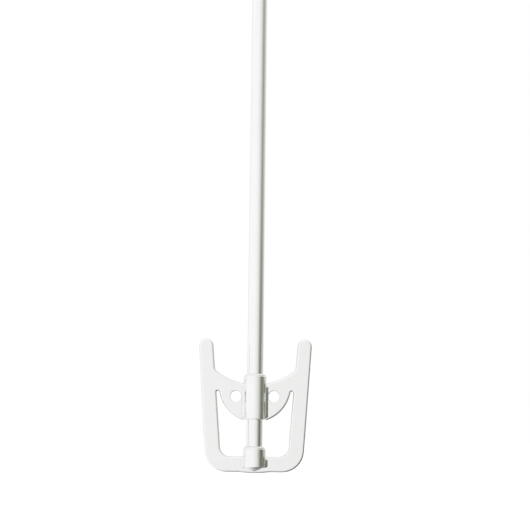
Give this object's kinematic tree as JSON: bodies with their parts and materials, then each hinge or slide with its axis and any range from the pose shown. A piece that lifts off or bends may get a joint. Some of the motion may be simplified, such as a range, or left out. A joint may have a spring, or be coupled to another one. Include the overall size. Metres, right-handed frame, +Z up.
{
  "type": "drill paint mixer",
  "caption": "Paint stirrer for a drill: a long round steel shaft with a hexagonal drive end and a flat anchor blade with a pierced web, fixed by two welded sleeves.",
  "frame": {"origin": "on the shaft's axis, level with the lowest edge of the blade", "axes": "+Z up the shaft towards the drive end, +X along the blade's width, -Y the front face of the blade"},
  "size_m": [0.084, 0.017, 0.6],
  "materials": {
    "shaft_steel": "bright zinc plate on drawn bar, faint lengthwise drawing lines",
    "sleeve_steel": "bright zinc plate on turned tube, faint turning marks",
    "blade_steel": "satin zinc plate on pressed plate with rounded edges",
    "weld_metal": "zinc plate over rippled weld bead"
  },
  "bodies": {
    "root": {"anchor_blade": "blade_steel", "drive_shaft": "shaft_steel", "end_weld_front": "weld_metal", "end_weld_rear": "weld_metal", "lower_ring_weld": "weld_metal", "lower_seam_weld_front_left": "weld_metal", "lower_seam_weld_front_right": "weld_metal", "lower_seam_weld_rear_left": "weld_metal", "lower_seam_weld_rear_right": "weld_metal", "lower_sleeve": "sleeve_steel", "upper_ring_weld": "weld_metal", "upper_seam_weld_front_left": "weld_metal", "upper_seam_weld_front_right": "weld_metal", "upper_seam_weld_rear_left": "weld_metal", "upper_seam_weld_rear_right": "weld_metal", "upper_sleeve": "sleeve_steel"}
  },
  "joints": []
}
